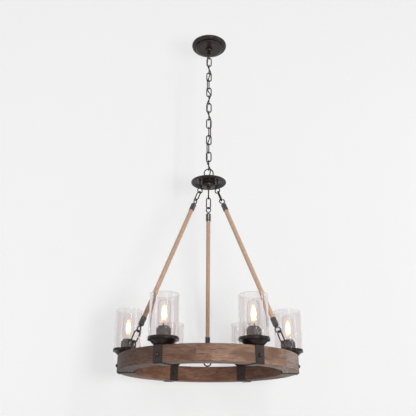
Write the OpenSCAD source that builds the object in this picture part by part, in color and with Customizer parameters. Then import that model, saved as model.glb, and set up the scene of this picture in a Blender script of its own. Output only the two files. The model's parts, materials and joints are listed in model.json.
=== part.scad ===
// Wagon wheel chandelier: six glass shaded lights on a wooden rim, three rope
// wrapped hangers, a hub, a chain of fourteen links and a ceiling canopy.
// The origin is on the ceiling, on the canopy's axis. +Z points up, so the
// fixture hangs below zero, and the near side of the wheel is towards -Y.

/* [Wheel] */
// Outer diameter of the wooden rim
wheel_d = 600; // [560:1:680]
// Radial width of the rim
rim_w = 53; // [48:1:62]
// Height of the rim
rim_h = 51.5; // [46:0.5:62]
// Rounding of the rim's long edges
rim_round = 1.5; // [1:0.5:5]
// Gap between two felloes at a joint
seam_gap = 0.2; // [0.1:0.1:1]

/* [Straps] */
// Width of each steel strap
strap_w = 30; // [26:1:40]
// Thickness of each steel strap
strap_t = 3; // [2:0.5:4]
// Diameter of the bolt through each strap
bolt_d = 6; // [4:0.5:8]
// Diameter of the round bolt heads
bolt_head_d = 12; // [10:0.5:16]
// Height of the round bolt heads
bolt_head_h = 6.5; // [5:0.5:9]

/* [Lights] */
// Height of the cup
cup_h = 23.5; // [20:0.5:30]
// Wall thickness of the cup
cup_t = 1.2; // [0.8:0.1:2]
// Outer diameter of the glass shade
glass_d = 91.4; // [84:0.2:100]
// Height of the glass shade
glass_h = 139.5; // [126:0.5:160]
// Wall thickness of the glass shade
glass_t = 3; // [2:0.2:4]
// Diameter of the socket's lower collar
collar_d = 46; // [42:0.5:50]
// Diameter of the socket's shell
shell_d = 35; // [33:0.5:38]
// Height of the socket above the cup's floor
socket_h = 54.5; // [50:0.5:58]
// Diameter of the bulb's glass
bulb_d = 38; // [30:0.5:45]
// Height of the bulb above the socket
bulb_h = 84; // [70:0.5:88]

/* [Hangers] */
// Distance of the hub's eyes from the axis
hub_eye_r = 37.5; // [32:0.5:44]
// Depth of the hub eyes' centres below the hub plate's rim
hub_eye_fall = 42; // [40:0.5:50]
// Depth of the wooden rim's top face below the hub eyes' centres
hanger_fall = 606; // [566:1:726]
// Diameter of the rope wrap
rope_d = 16; // [13:0.5:18]
// Outer diameter of the tube inside the rope
tube_d = 10; // [8:0.5:11]
// Outer diameter of the ferrules
ferrule_d = 19; // [18.5:0.5:22]
// Length of the ferrules
ferrule_l = 29; // [24:1:36]
// Wire diameter of the ferrules' eyes
eye_wire = 4.5; // [3.5:0.1:5]
// Outer diameter of the ferrules' eyes
eye_d = 23.5; // [22:0.5:27]
// Outer diameter of the eyes on the rim
rim_eye_d = 32; // [28:0.5:35]
// Wire diameter of the eyes on the rim
rim_eye_wire = 5; // [4:0.1:5.5]

/* [Hub] */
// Diameter of the hub plate
hub_d = 132; // [120:1:160]
// Thickness of the hub plate
hub_t = 2.5; // [1.5:0.1:4]
// Diameter of the boss below the hub plate
boss_d = 52; // [48:1:58]
// Width of the loop on top of the hub
hub_loop_w = 38; // [30:0.5:42]
// Height of the hub loop's top wire above the hub plate's rim
hub_loop_h = 56.1; // [52:0.1:62]
// Wire diameter of the hub's loop
hub_loop_wire = 4.4; // [3.5:0.1:5]

/* [Chain] */
// Distance from one link's middle to the next
link_pitch = 36.5; // [33:0.5:40]
// Width of a chain link
link_w = 22; // [21:0.5:25]
// Wire diameter of a chain link
link_wire = 4.4; // [3.4:0.1:4.6]
// Free gap between two hooked wires
hook_gap = 0.3; // [0.2:0.05:0.5]
// Diameter of the supply cord
cord_d = 4.4; // [3:0.1:4.7]

/* [Canopy] */
// Diameter of the canopy
canopy_d = 142; // [120:1:170]
// Height of the canopy
canopy_h = 21; // [18:0.5:32]
// Sheet thickness of the canopy
canopy_t = 1.5; // [1:0.1:2.5]
// Distance between the two screws in the ceiling box
box_screw_gap = 89; // [84:0.5:94]
// Diameter of the ceiling box screws
box_screw_d = 4.2; // [3.5:0.1:5]
// Outer diameter of the screw collar
screw_collar_d = 29; // [24:0.5:34]
// Outer diameter of the canopy's loop
canopy_loop_d = 28; // [26:0.5:32]

/* [Hidden] */
$fn = 48;

// Clearances between pieces of one body
seat = 0.05;
slip = 0.3;

// Chain, hung from the canopy's loop
link_count = 14;
link_l = link_pitch + 2 * link_wire + hook_gap;
link_apex = (link_l - link_wire) / 2;
canopy_loop_wire = 4.4;
canopy_loop_r = (canopy_loop_d - canopy_loop_wire) / 2;
stub_bottom_z = -canopy_h - 27;
canopy_loop_z = stub_bottom_z + 3.5 - canopy_loop_r + 0.5;
chain_start_z = canopy_loop_z - canopy_loop_r;
first_link_z = chain_start_z + (canopy_loop_wire + link_wire) / 2 + hook_gap - link_apex;
chain_end_z = first_link_z - (link_count - 1) * link_pitch - link_apex;

// Hub, hung from the last link
hub_loop_r = (hub_loop_w - hub_loop_wire) / 2;
hub_loop_top_z = chain_end_z + (link_wire + hub_loop_wire) / 2 + hook_gap;
hub_z = hub_loop_top_z - hub_loop_h;
hub_top_z = hub_z + 3 + hub_t;
hub_eye_wire = 4;
hub_eye_d = 23;
// How far each eye is turned about its stem, for the hangers at 90, 210 and 330
hub_eye_turn = [-6, 0, 0];
hub_eye_ring_r = (hub_eye_d - hub_eye_wire) / 2;
hub_eye_z = hub_z - hub_eye_fall;
boss_h = 20;
boss_t = 1.2;
boss_bottom_z = hub_z - boss_h;
nipple_d = 9.7;
nipple_bore_d = 6.6;

// Lights, straps and hangers round the wheel
light_count = 6;
light_step = 360 / light_count;
leg_angles = [90, 210, 330];
// First felloe joint, seen just clear of the right hanger's eye
first_seam = -37;
rim_z = hub_eye_z - hanger_fall;
rim_outer = wheel_d / 2;
rim_inner = rim_outer - rim_w;
rim_mid = rim_outer - rim_w / 2;
bolt_z = rim_z - rim_h * 0.55;
// Wire way, inside of the rim eyes' shanks
wire_way_d = 8;
wire_way_z = rim_z - 12;
wire_way_off = -10;
wire_way_r = rim_mid + wire_way_off;
dowel_d = 8;
dowel_l = 40;
dowel_z = rim_z - rim_h + 12;
dowel_side = 12;

// Light pieces, measured up from the strap's top face
cup_base_z = rim_z + seat + strap_t;
cup_wall_r = glass_d / 2 + slip;
cup_lip = 0.9;
cup_rim_r = cup_wall_r + cup_t + cup_lip;
cup_base_r = 29;
cup_band_h = 8.5;
cup_floor_z = cup_base_z + cup_t;
ledge_h = cup_h - cup_band_h - 1 + cup_t;
socket_top_z = cup_floor_z + socket_h;
collar_h = socket_h - 7;
glass_z = cup_base_z + ledge_h + slip;
bulb_base_d = 26;
bulb_seat_z = socket_top_z - 22;
bulb_top_z = socket_top_z + bulb_h;

// Hanger line, from the hub eye's centre to the rim eye's upper wire
rim_eye_ring_r = (rim_eye_d - rim_eye_wire) / 2;
rim_eye_washer = 2;
rim_eye_z = rim_z + rim_eye_washer + rim_eye_d / 2 + 1;
leg_dr = rim_mid - hub_eye_r;
leg_dz = hub_eye_z - (rim_eye_z + rim_eye_ring_r);
leg_tilt = atan2(leg_dr, leg_dz);
leg_l = norm([leg_dr, leg_dz]);
eye_ring_r = (eye_d - eye_wire) / 2;
upper_link_s = hub_eye_ring_r - (hub_eye_wire + link_wire) / 2 - hook_gap + link_apex;
upper_eye_s = upper_link_s + link_apex - (link_wire + eye_wire) / 2 - hook_gap + eye_ring_r;
lower_link_s = leg_l + (rim_eye_wire + link_wire) / 2 + hook_gap - link_apex;
lower_eye_s = lower_link_s - link_apex + (link_wire + eye_wire) / 2 + hook_gap - eye_ring_r;
eye_neck = 2;
ferrule_cap = 5;
upper_cap_s = upper_eye_s + eye_d / 2 + eye_neck;
lower_cap_s = lower_eye_s - eye_d / 2 - eye_neck;
rope_end_gap = 0.5;
rope_start_s = upper_cap_s + ferrule_cap + rope_end_gap;
rope_end_s = lower_cap_s - ferrule_cap - rope_end_gap;

// How far each hanger's pieces are turned about its line, for 90, 210 and 330
eye_turn = [60, -36, -42];
upper_link_turn = [-60, 71, 60];
lower_link_turn = [-5, 26, 28];
// The lower link of the left hanger is bent open a little, and the others are closed
lower_link_slit = [0, 5, 0];

// Side of the axis that the cord passes at each crossing of two links, 0 to 14
cord_side_x = [-1, -1, 1, -1, -1, 1, -1, -1, 1, 1, 1, -1, -1, -1, 1];
cord_side_y = [-1, -1, -1, 1, 1, -1, -1, -1, -1, -1, -1, 1, 1, 1, 1];
cord_off = 6.5;
cord_slot = 3.2;
crossing_z = chain_start_z + link_wire / 2;
cord_end_z = hub_z - 9;
cord_route = concat(
    [[0, 0, -4], [0, 0, -canopy_h - 10], [0, 0, stub_bottom_z - 2]],
    [for (i = [0 : 2 * link_count]) cord_point(i / 2)],
    [[1, 1, hub_top_z + 16], [0, 0, hub_top_z + 4], [0, 0, cord_end_z]]);

// Point of the cord at crossing t, or at a link's centre where t ends in a half
function cord_point(t) =
    let (a = floor(t), b = ceil(t), odd = a % 2 == 0,
         sx = (cord_side_x[a] + cord_side_x[b]) / 2,
         sy = (cord_side_y[a] + cord_side_y[b]) / 2,
         beside = a != b && !odd && sx == 0)
    [cord_off * sx, (beside ? cord_slot : cord_off) * sy, crossing_z - t * link_pitch];

// Smooth curve through the points p, with n steps between two of them
function spline(p, n) = [
    for (i = [0 : len(p) - 2], k = [0 : n - 1]) spline_at(p, i, k / n)];
function spline_at(p, i, t) =
    let (a = p[max(i - 1, 0)], b = p[i], c = p[i + 1], d = p[min(i + 2, len(p) - 1)])
    0.5 * (2 * b + (c - a) * t + (2 * a - 5 * b + 4 * c - d) * t * t
        + (3 * b - a - 3 * c + d) * t * t * t);

// Ring of points round a tube of radius r at p, across the level
function tube_ring(p, r, sides) = [
    for (k = [0 : sides - 1]) p + r * [cos(360 * k / sides), sin(360 * k / sides), 0]];

// Round tube swept down the points of path, which runs mostly downwards
module swept_tube(path, r, sides) {
    n = len(path);
    points = [for (p = path) each tube_ring(p, r, sides)];
    walls = [
        for (i = [0 : n - 2], k = [0 : sides - 1])
            let (m = (k + 1) % sides)
            each [[i * sides + k, i * sides + m, (i + 1) * sides + m],
                  [i * sides + k, (i + 1) * sides + m, (i + 1) * sides + k]]];
    top = [for (k = [sides - 1 : -1 : 0]) k];
    bottom = [for (k = [0 : sides - 1]) (n - 1) * sides + k];
    polyhedron(points, concat(walls, [top, bottom]));
}

// Points on an arc from angle a to angle b
function arc(cx, cy, rx, ry, a, b, n) = [
    for (i = [0 : n]) [cx + rx * cos(a + (b - a) * i / n), cy + ry * sin(a + (b - a) * i / n)]];

// Ring of round wire in the XZ plane
module wire_ring(r, wire) {
    rotate([90, 0, 0])
        rotate_extrude()
            translate([r, 0])
                circle(d = wire);
}

// Half ring of round wire in the XZ plane, above the origin
module half_ring(r, wire) {
    rotate([90, 0, 0])
        rotate_extrude(angle = 180)
            translate([r, 0])
                circle(d = wire);
}

// Oval link of round wire in the XZ plane. A slit opens its +X side
module oval_link(l, w, wire, slit = 0) {
    r = (w - wire) / 2;
    straight = l - w;
    difference() {
        union() {
            for (m = [0, 1])
                mirror([0, 0, m]) {
                    translate([0, 0, straight / 2])
                        half_ring(r, wire);
                    for (x = [-r, r])
                        translate([x, 0, 0])
                            cylinder(d = wire, h = straight / 2);
                }
        }
        if (slit > 0)
            translate([r - wire, -wire, -slit / 2])
                cube([2 * wire, 2 * wire, slit]);
    }
}

// A copy of the children at every light's axis
module ring_of_lights() {
    for (i = [0 : light_count - 1])
        at_light(i)
            children();
}

// Moves the children to the axis of light i
module at_light(i) {
    rotate([0, 0, i * light_step])
        translate([rim_mid, 0, 0])
            children();
}

// Frame of hanger i, from its hub eye: local +Z runs down its line, XZ is the radial plane
module along_leg(i) {
    rotate([0, 0, leg_angles[i]])
        translate([hub_eye_r, 0, hub_eye_z])
            rotate([0, 180 - leg_tilt, 0])
                children();
}

// Hexagonal nut, across its flats, with a round bore
module hex_nut(across, h, bore) {
    difference() {
        cylinder(d = across / cos(30), h = h, $fn = 6);
        translate([0, 0, -1])
            cylinder(d = bore, h = h + 2);
    }
}

// ---- Ceiling canopy ----

// Outline of the canopy from rim to centre, moved in by t
function canopy_outline(t) = [
    for (p = concat(
        [[canopy_d / 2, 0]],
        arc(canopy_d / 2 - 12, -3, 12, canopy_h * 0.45, 0, -80, 8),
        [[canopy_d / 2 - 13, -3 - canopy_h * 0.42]],
        arc(canopy_d / 2 - 27, -canopy_h + 7, 12, 7, 20, -90, 8)))
    [p.x - t, min(0, p.y + t)]];

module canopy() {
    bore = nipple_d / 2 + slip;
    color([0.20, 0.17, 0.16])
        rotate_extrude()
            polygon(concat(
                canopy_outline(0),
                [[bore, -canopy_h], [bore, -canopy_h + canopy_t]],
                [for (i = [len(canopy_outline(0)) - 1 : -1 : 0]) canopy_outline(canopy_t)[i]]));
}

bar_t = 2;
bar_w = 18;
bar_top_z = -2.5;
bar_hole_d = 1.6 * box_screw_d;

module crossbar() {
    color([0.62, 0.62, 0.62])
        difference() {
            translate([-box_screw_gap / 2 - 9, -bar_w / 2, bar_top_z - bar_t])
                cube([box_screw_gap + 18, bar_w, bar_t]);
            translate([0, 0, bar_top_z - bar_t - 1])
                cylinder(d = nipple_d + 2 * seat, h = bar_t + 2);
            for (x = [-1, 1] * box_screw_gap / 2)
                translate([x, 0, bar_top_z - bar_t - 1])
                    cylinder(d = bar_hole_d, h = bar_t + 2);
        }
}

module box_screws() {
    color([0.70, 0.70, 0.68])
        for (x = [-1, 1] * box_screw_gap / 2)
            translate([x, 0, bar_top_z - bar_t]) {
                cylinder(d = box_screw_d, h = 18);
                translate([0, 0, -2.6])
                    cylinder(d = 2 * box_screw_d, h = 2.6);
            }
}

nipple_bottom_z = stub_bottom_z + 11;

module nipple() {
    color([0.72, 0.62, 0.36])
        translate([0, 0, nipple_bottom_z])
            difference() {
                cylinder(d = nipple_d, h = -nipple_bottom_z - 0.5);
                translate([0, 0, -1])
                    cylinder(d = nipple_bore_d, h = -nipple_bottom_z + 2);
            }
}

module lock_nut() {
    color([0.70, 0.70, 0.68])
        translate([0, 0, bar_top_z - bar_t - 4])
            hex_nut(16, 4, nipple_d + 2 * seat);
}

stub_r = 8;
screw_collar_h = 9;

module screw_collar() {
    r = screw_collar_d / 2;
    color([0.20, 0.17, 0.16])
        translate([0, 0, -canopy_h])
            rotate_extrude()
                polygon(concat(
                    [[stub_r + seat, 0], [r, 0], [r, -2]],
                    arc(r - 5, -4, 5, 5, 0, -90, 8),
                    [[stub_r + seat, -screw_collar_h]]));
}

module canopy_loop() {
    color([0.20, 0.17, 0.16])
        difference() {
            union() {
                translate([0, 0, stub_bottom_z])
                    cylinder(r = stub_r, h = -canopy_h - stub_bottom_z);
                translate([0, 0, canopy_loop_z])
                    rotate([0, 0, 90])
                        wire_ring(canopy_loop_r, canopy_loop_wire);
            }
            translate([0, 0, nipple_bottom_z - seat])
                cylinder(d = nipple_d + 2 * seat, h = -nipple_bottom_z);
            translate([0, 0, stub_bottom_z - 4])
                cylinder(d = nipple_bore_d, h = -stub_bottom_z);
        }
}

wire_nut_r = 4.5;

// Cone shaped wire connectors that lie on the canopy's floor
module canopy_wire_nuts() {
    color([0.85, 0.45, 0.15])
        for (a = [115, 245, 65])
            rotate([0, 0, a])
                translate([26, 0, -canopy_h + canopy_t + slip + wire_nut_r])
                    rotate([90, 0, 0])
                        cylinder(r1 = wire_nut_r, r2 = 3, h = 16, center = true);
}

module supply_cord() {
    color([0.16, 0.13, 0.12])
        swept_tube(concat(spline(cord_route, 2), [cord_route[len(cord_route) - 1]]),
            cord_d / 2, 10);
}

// ---- Chain ----

// Link n of the chain. Odd links lie in the XZ plane, even ones in the YZ plane
module chain_link(n) {
    color([0.22, 0.19, 0.18])
        translate([0, 0, first_link_z - (n - 1) * link_pitch])
            rotate([0, 0, n % 2 == 1 ? 0 : 90])
                oval_link(link_l, link_w, link_wire);
}

// ---- Hub ----

module hub_loop() {
    foot_z = hub_z - 3;
    leg_top_z = hub_loop_top_z - hub_loop_r;
    color([0.22, 0.19, 0.18]) {
        translate([0, 0, leg_top_z])
            half_ring(hub_loop_r, hub_loop_wire);
        for (x = [-1, 1] * hub_loop_r)
            translate([x, 0, 0]) {
                translate([0, 0, foot_z])
                    cylinder(d = hub_loop_wire, h = leg_top_z - foot_z);
                translate([0, 0, hub_top_z + seat])
                    cylinder(d = 1.8 * hub_loop_wire, h = 2);
            }
    }
}

// Spun plate with two turned ridges round its underside
module hub_plate() {
    r = hub_d / 2;
    color([0.21, 0.18, 0.17])
        difference() {
            rotate_extrude()
                polygon(concat(
                    [[0, hub_top_z - hub_t], [0, hub_top_z], [r - 22, hub_top_z]],
                    [[r - 4, hub_z + 2.5], [r, hub_z + 1], [r, hub_z - 1]],
                    arc(r - 3, hub_z - 1, 3, 2, 0, -180, 8),
                    [[r - 6.5, hub_z]],
                    arc(r - 10, hub_z, 3, 2.5, 0, -180, 8),
                    [[r - 13.5, hub_z + 1]],
                    arc(r - 17, hub_z + 1, 3, 2.5, 0, -180, 8),
                    [[r - 22, hub_top_z - hub_t]]));
            translate([0, 0, hub_z - 10])
                cylinder(d = nipple_d + 2 * seat, h = 20);
            for (x = [-1, 1] * hub_loop_r)
                translate([x, 0, hub_z - 10])
                    cylinder(d = hub_loop_wire + 2 * seat, h = 20);
            for (a = leg_angles)
                rotate([0, 0, a])
                    translate([hub_eye_r, 0, hub_z - 10])
                        cylinder(d = hub_eye_stem_d + 2 * seat, h = 20);
        }
}

hub_under_z = hub_top_z - hub_t;

// Turned boss, hollow, that covers the splices under the plate
module hub_boss() {
    r = boss_d / 2;
    top_z = hub_under_z - seat;
    h = top_z - boss_bottom_z;
    color([0.24, 0.21, 0.19])
        translate([0, 0, top_z])
            rotate_extrude()
                polygon(concat(
                    [[r, 0], [r, -3], [r - 1.5, -4.5]],
                    arc(r - 9, -h + 9, 8, 9, 20, -90, 10),
                    [[nipple_d / 2 + seat, -h], [nipple_d / 2 + seat, -h + boss_t]],
                    arc(r - 9, -h + 9, 8 - boss_t, 9 - boss_t, -90, 20, 10),
                    [[r - 1.5 - boss_t, -4.5 + boss_t], [r - boss_t, -3 + boss_t],
                     [r - boss_t, 0]]));
}

hub_nipple_top_z = hub_top_z + 8;
hub_nipple_bottom_z = boss_bottom_z - 4;

// Threaded tube through the hub, with a window for the cord's leads
module hub_nipple() {
    l = hub_nipple_top_z - hub_nipple_bottom_z;
    color([0.72, 0.62, 0.36])
        difference() {
            translate([0, 0, hub_nipple_bottom_z])
                cylinder(d = nipple_d, h = l);
            translate([0, 0, hub_nipple_bottom_z - 1])
                cylinder(d = nipple_bore_d, h = l + 2);
            translate([0, -2.5, hub_z - 12])
                cube([nipple_d, 5, 8]);
        }
}

// Rounded end nut that holds the boss
module hub_nut() {
    depth = boss_bottom_z - hub_nipple_bottom_z;
    color([0.24, 0.21, 0.19])
        translate([0, 0, boss_bottom_z - seat])
            rotate_extrude()
                polygon(concat(
                    [[nipple_d / 2 + seat, 0], [9, 0], [9, -1.5]],
                    arc(0, -2.5, 8, 7, 0, -90, 10),
                    [[0, -depth - 1], [nipple_d / 2 + seat, -depth - 1]]));
}

hub_eye_stem_d = 5;

// Eye bolts under the hub, each with a collar on the plate's underside
module hub_eyes() {
    ring_top_z = hub_eye_z + hub_eye_ring_r;
    color([0.22, 0.19, 0.18])
        for (i = [0 : len(leg_angles) - 1])
            rotate([0, 0, leg_angles[i]])
                translate([hub_eye_r, 0, 0]) {
                    translate([0, 0, hub_eye_z])
                        rotate([0, 0, hub_eye_turn[i]])
                            wire_ring(hub_eye_ring_r, hub_eye_wire);
                    translate([0, 0, ring_top_z])
                        cylinder(d = hub_eye_stem_d, h = hub_top_z + 5 - ring_top_z);
                    translate([0, 0, hub_under_z - seat - 5])
                        cylinder(d = 10, h = 5);
                    translate([0, 0, hub_top_z + seat])
                        cylinder(d = 9 / cos(30), h = 3.5, $fn = 6);
                }
}

// ---- Hangers ----

module upper_links() {
    color([0.22, 0.19, 0.18])
        for (i = [0 : len(leg_angles) - 1])
            along_leg(i)
                translate([0, 0, upper_link_s])
                    rotate([0, 0, upper_link_turn[i]])
                        oval_link(link_l, link_w, link_wire);
}

module lower_links() {
    color([0.22, 0.19, 0.18])
        for (i = [0 : len(leg_angles) - 1])
            along_leg(i)
                translate([0, 0, lower_link_s])
                    rotate([0, 0, lower_link_turn[i]])
                        oval_link(link_l, link_w, link_wire, lower_link_slit[i]);
}

// Ferrule with its eye at the origin. The rope's socket opens along +Z
module ferrule() {
    r = ferrule_d / 2;
    cap = eye_d / 2 + eye_neck;
    bore_r = rope_d / 2 + seat;
    color([0.24, 0.20, 0.18]) {
        wire_ring(eye_ring_r, eye_wire);
        translate([0, 0, eye_ring_r])
            cylinder(d = 8, h = cap - eye_ring_r + 1);
        translate([0, 0, cap])
            rotate_extrude()
                polygon([[0, 0], [r - 2, 0], [r, 2], [r, ferrule_l], [bore_r, ferrule_l],
                         [bore_r, ferrule_cap], [0, ferrule_cap]]);
    }
}

module upper_ferrules() {
    for (i = [0 : len(leg_angles) - 1])
        along_leg(i)
            translate([0, 0, upper_eye_s])
                rotate([0, 0, eye_turn[i]])
                    ferrule();
}

module lower_ferrules() {
    for (i = [0 : len(leg_angles) - 1])
        along_leg(i)
            translate([0, 0, lower_eye_s])
                rotate([180, 0, eye_turn[i]])
                    ferrule();
}

module hanger_tubes() {
    color([0.45, 0.45, 0.45])
        for (i = [0 : len(leg_angles) - 1])
            along_leg(i)
                translate([0, 0, rope_start_s])
                    difference() {
                        cylinder(d = tube_d, h = rope_end_s - rope_start_s);
                        translate([0, 0, -1])
                            cylinder(d = tube_d - 2, h = rope_end_s - rope_start_s + 2);
                    }
}

module rope_wraps() {
    color([0.80, 0.66, 0.55])
        for (i = [0 : len(leg_angles) - 1])
            along_leg(i)
                translate([0, 0, rope_start_s])
                    difference() {
                        cylinder(d = rope_d, h = rope_end_s - rope_start_s);
                        translate([0, 0, -1])
                            cylinder(d = tube_d + 2 * seat, h = rope_end_s - rope_start_s + 2);
                    }
}

shank_d = 5;
shank_depth = 26;

// Screw eyes on the rim's top face, across the radius
module rim_eyes() {
    color([0.22, 0.19, 0.18])
        for (a = leg_angles)
            rotate([0, 0, a])
                translate([rim_mid, 0, 0]) {
                    translate([0, 0, rim_eye_z])
                        rotate([0, 0, 90])
                            wire_ring(rim_eye_ring_r, rim_eye_wire);
                    translate([0, 0, rim_z - shank_depth])
                        cylinder(d = shank_d, h = rim_eye_z - rim_eye_ring_r - rim_z + shank_depth);
                    translate([0, 0, rim_z + seat])
                        cylinder(d = 14, h = rim_eye_washer);
                }
}

// ---- Rim ----

// Section of the rim with rounded corners, grown by g all round
module rim_section(g = 0) {
    r = rim_round + g;
    translate([rim_inner - g, rim_z - rim_h - g]) {
        translate([r, 0])
            square([rim_w + 2 * g - 2 * r, rim_h + 2 * g]);
        translate([0, r])
            square([rim_w + 2 * g, rim_h + 2 * g - 2 * r]);
        for (x = [r, rim_w + 2 * g - r], y = [r, rim_h + 2 * g - r])
            translate([x, y])
                circle(r = r);
    }
}

// Angle at the rim's middle that a joint's gap takes
seam_angle = seam_gap / rim_mid * 180 / PI;

// Felloe k of six, counted from the light at the +X side
module felloe(k) {
    start = first_seam + k * light_step;
    color([0.45, 0.33, 0.25])
        difference() {
            rotate([0, 0, start + seam_angle / 2])
                rotate_extrude(angle = light_step - seam_angle)
                    difference() {
                        rim_section();
                        translate([wire_way_r, wire_way_z])
                            circle(d = wire_way_d);
                    }
            rotate([0, 0, k * light_step]) {
                translate([rim_inner - 10, 0, bolt_z])
                    rotate([0, 90, 0])
                        cylinder(d = bolt_d + 2 * seat, h = rim_w + 20);
                translate([wire_way_r, 0, wire_way_z])
                    cylinder(d = wire_way_d, h = rim_h);
            }
            for (a = leg_angles)
                if (a > start && a < start + light_step
                    || a - 360 > start && a - 360 < start + light_step)
                    rotate([0, 0, a])
                        translate([rim_mid, 0, rim_z - shank_depth - 1])
                            cylinder(d = shank_d + 2 * seat, h = 2 * shank_depth);
            for (s = [start, start + light_step])
                rotate([0, 0, s])
                    dowel_pair(seat, 1);
        }
}

module dowel_pair(fit, extra) {
    for (x = [-dowel_side, dowel_side])
        translate([rim_mid + x, 0, dowel_z])
            rotate([90, 0, 0])
                cylinder(d = dowel_d + 2 * fit, h = dowel_l + 2 * extra, center = true);
}

// Cable inside the rim, from light to light, with a riser up into each socket
module rim_wiring() {
    wire_d = wire_way_d - 1.5;
    clear_angle = (wire_d / 2 + 1) / wire_way_r * 180 / PI;
    color([0.12, 0.12, 0.12])
        for (i = [0 : light_count - 1])
            rotate([0, 0, i * light_step]) {
                rotate([0, 0, clear_angle])
                    rotate_extrude(angle = light_step - 2 * clear_angle)
                        translate([wire_way_r, wire_way_z])
                            circle(d = wire_d);
                translate([wire_way_r, 0, wire_way_z - wire_d / 4])
                    cylinder(d = wire_d, h = cup_floor_z + 8 - wire_way_z + wire_d / 4);
            }
}

module dowels() {
    color([0.75, 0.60, 0.42])
        for (k = [0 : light_count - 1])
            rotate([0, 0, first_seam + k * light_step])
                dowel_pair(0, 0);
}

// ---- Straps and bolts ----

// Closed steel band bent round the rim, with holes for the bolt and the lamp wires
module straps() {
    turn = asin(strap_w / rim_inner);
    color([0.22, 0.21, 0.20])
        for (i = [0 : light_count - 1])
            rotate([0, 0, i * light_step])
                difference() {
                    intersection() {
                        rotate([0, 0, -turn])
                            rotate_extrude(angle = 2 * turn)
                                difference() {
                                    rim_section(seat + strap_t);
                                    rim_section(seat);
                                }
                        translate([0, -strap_w / 2, rim_z - rim_h - 20])
                            cube([2 * rim_outer, strap_w, rim_h + 40]);
                    }
                    translate([0, 0, bolt_z])
                        rotate([0, 90, 0])
                            cylinder(d = bolt_d + 2 * seat, h = 2 * rim_outer);
                    translate([wire_way_r, 0, rim_z - 5])
                        cylinder(d = wire_way_d, h = 20);
                }
}

// Clearance under a flat head on the strap's bent face
head_seat = 0.15;

// Domed head or cap nut that stands on the strap, from x = 0 outwards
module bolt_dome() {
    rotate([0, 90, 0])
        rotate_extrude()
            polygon(concat(
                [[0, 0], [bolt_head_d / 2, 0]],
                arc(0, 1.5, bolt_head_d / 2, bolt_head_h - 1.5, 0, 90, 10)));
}

// Through bolts, each with a domed head outside and a domed nut inside
module strap_bolts() {
    face = rim_w / 2 + seat + strap_t + head_seat;
    color([0.12, 0.10, 0.10])
        ring_of_lights()
            translate([0, 0, bolt_z]) {
                translate([-face, 0, 0])
                    rotate([0, 90, 0])
                        cylinder(d = bolt_d, h = 2 * face);
                translate([face, 0, 0])
                    bolt_dome();
                mirror([1, 0, 0])
                    translate([face, 0, 0])
                        bolt_dome();
            }
}

// ---- Lights ----

// Spun cup with a flared side, a ledge for the glass and a short upright band
module cups() {
    r = cup_rim_r;
    step_z = cup_h - cup_band_h - 1;
    foot_r = cup_base_r + 2;
    step_r = cup_wall_r - glass_t - 1;
    color([0.17, 0.14, 0.13])
        ring_of_lights()
            translate([0, 0, cup_base_z])
                difference() {
                    rotate_extrude()
                        polygon([
                            [0, 0], [cup_base_r, 0], [foot_r, 1.5],
                            [step_r, step_z - 1], [r, step_z], [r, step_z + 5],
                            [r - cup_lip, cup_h], [cup_wall_r, cup_h],
                            [cup_wall_r, ledge_h], [step_r - 1.2 * cup_t, ledge_h],
                            [foot_r - 1.2 * cup_t, 1.5 + cup_t],
                            [foot_r - 3 * cup_t, cup_t], [0, cup_t]]);
                    translate([wire_way_off, 0, -1])
                        cylinder(d = wire_way_d, h = 2 + cup_t);
                }
}

// Lamp holders: a wide collar, a narrower shell and the socket inside it
module sockets() {
    shell_top = socket_h;
    color([0.25, 0.22, 0.21])
        ring_of_lights()
            translate([0, 0, cup_floor_z + seat])
                difference() {
                    union() {
                        cylinder(d = collar_d, h = collar_h);
                        cylinder(d = shell_d, h = shell_top);
                    }
                    translate([0, 0, bulb_seat_z - cup_floor_z - slip])
                        cylinder(d = bulb_base_d + 2 * slip, h = socket_h);
                    translate([wire_way_off, 0, -1])
                        cylinder(d = wire_way_d, h = 12);
                }
}

// Tubular bulb i with its screw base
module bulb(i) {
    r = bulb_d / 2;
    neck = socket_top_z + slip;
    color([1.0, 0.88, 0.66])
        at_light(i)
            rotate_extrude()
                polygon(concat(
                    [[0, bulb_seat_z], [bulb_base_d / 2 - 4, bulb_seat_z],
                     [bulb_base_d / 2, bulb_seat_z + 3], [bulb_base_d / 2, neck]],
                    arc(r - 6, neck + 12, 6, 10, -60, 0, 6),
                    arc(0, bulb_top_z - r, r, r, 0, 90, 12)));
}

// Open glass tube i that stands in its cup's tray
module shade(i) {
    r = glass_d / 2;
    color([0.85, 0.84, 0.84, 0.35])
        at_light(i)
            translate([0, 0, glass_z])
                difference() {
                    cylinder(r = r, h = glass_h);
                    translate([0, 0, -1])
                        cylinder(r = r - glass_t, h = glass_h + 2);
                }
}

canopy();
crossbar();
box_screws();
nipple();
lock_nut();
screw_collar();
canopy_loop();
canopy_wire_nuts();
supply_cord();
chain_link(1);  // link_01
chain_link(2);  // link_02
chain_link(3);  // link_03
chain_link(4);  // link_04
chain_link(5);  // link_05
chain_link(6);  // link_06
chain_link(7);  // link_07
chain_link(8);  // link_08
chain_link(9);  // link_09
chain_link(10);  // link_10
chain_link(11);  // link_11
chain_link(12);  // link_12
chain_link(13);  // link_13
chain_link(14);  // link_14
hub_loop();
hub_plate();
hub_boss();
hub_nipple();
hub_nut();
hub_eyes();
upper_links();
upper_ferrules();
hanger_tubes();
rope_wraps();
lower_ferrules();
lower_links();
rim_eyes();
felloe(0);  // felloe_1
felloe(1);  // felloe_2
felloe(2);  // felloe_3
felloe(3);  // felloe_4
felloe(4);  // felloe_5
felloe(5);  // felloe_6
dowels();
rim_wiring();
straps();
strap_bolts();
cups();
sockets();
bulb(0);  // bulb_1
bulb(1);  // bulb_2
bulb(2);  // bulb_3
bulb(3);  // bulb_4
bulb(4);  // bulb_5
bulb(5);  // bulb_6
shade(0);  // shade_1
shade(1);  // shade_2
shade(2);  // shade_3
shade(3);  // shade_4
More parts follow.
